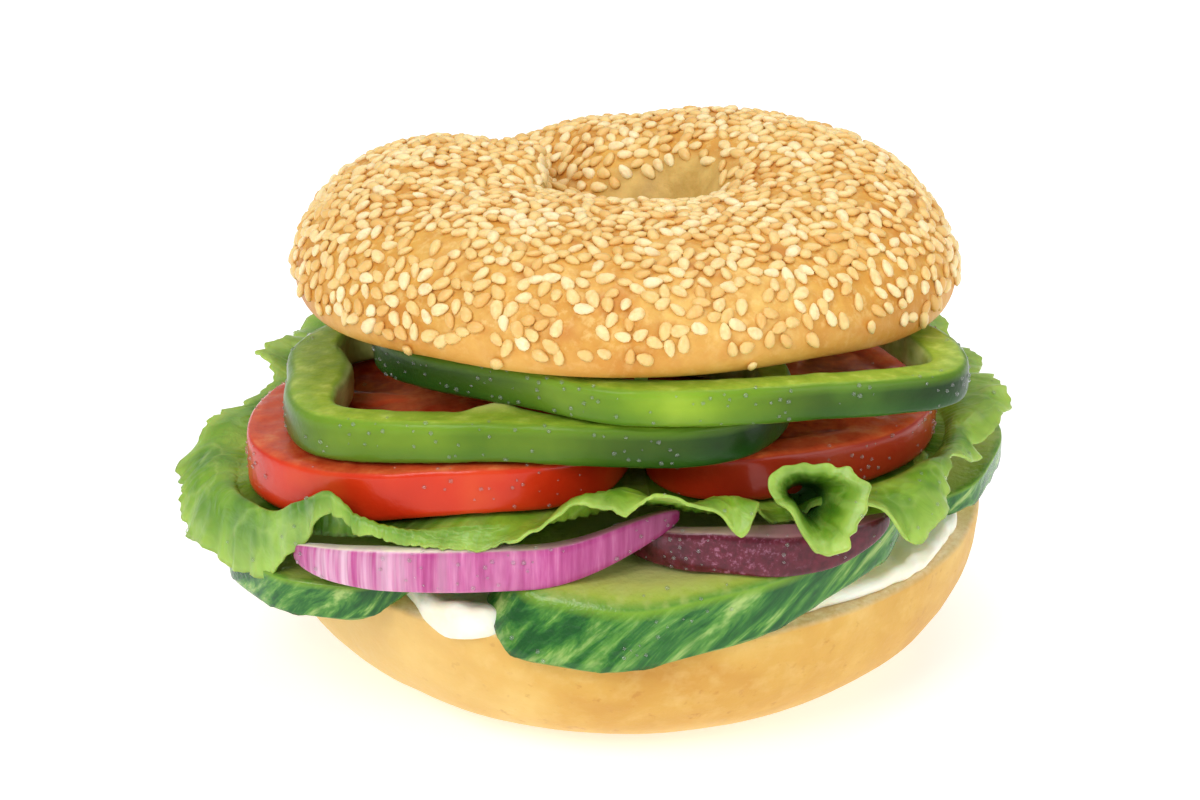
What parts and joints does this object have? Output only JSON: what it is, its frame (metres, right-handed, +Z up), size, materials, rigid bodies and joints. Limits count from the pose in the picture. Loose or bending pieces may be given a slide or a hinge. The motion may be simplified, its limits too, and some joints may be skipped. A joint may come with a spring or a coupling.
{
  "type": "salad sandwich",
  "caption": "Round seeded bagel split and filled with cream cheese, cucumber, red onion, lettuce, tomato and green pepper rings, its top half leaning back.",
  "frame": {"origin": "middle of the sandwich's box, on the surface that it stands on", "axes": "+X to the right as seen from the open front, -Y towards the viewer, +Z up"},
  "size_m": [0.1339, 0.1251, 0.0825],
  "materials": {
    "crust": "baked, satin",
    "seeded_crust": "baked, satin, with sesame seeds",
    "cream": "soft, satin",
    "cucumber": "moist",
    "onion": "moist, glossy",
    "leaf": "moist, satin",
    "tomato": "wet, glossy",
    "pepper": "waxy, glossy"
  },
  "bodies": {
    "root": {"bagel_bottom": "crust", "bagel_top": "seeded_crust", "cream_cheese": "cream", "cucumber_front": "cucumber", "cucumber_left": "cucumber", "cucumber_right": "cucumber", "cucumber_back_left": "cucumber", "cucumber_back_right": "cucumber", "onion_left": "onion", "onion_right": "onion", "onion_back": "onion", "lettuce_leaf": "leaf", "tomato_left": "tomato", "tomato_right": "tomato", "tomato_back": "tomato", "pepper_front_left": "pepper", "pepper_front_right": "pepper", "pepper_back_lower": "pepper", "pepper_back_upper": "pepper"}
  },
  "joints": []
}
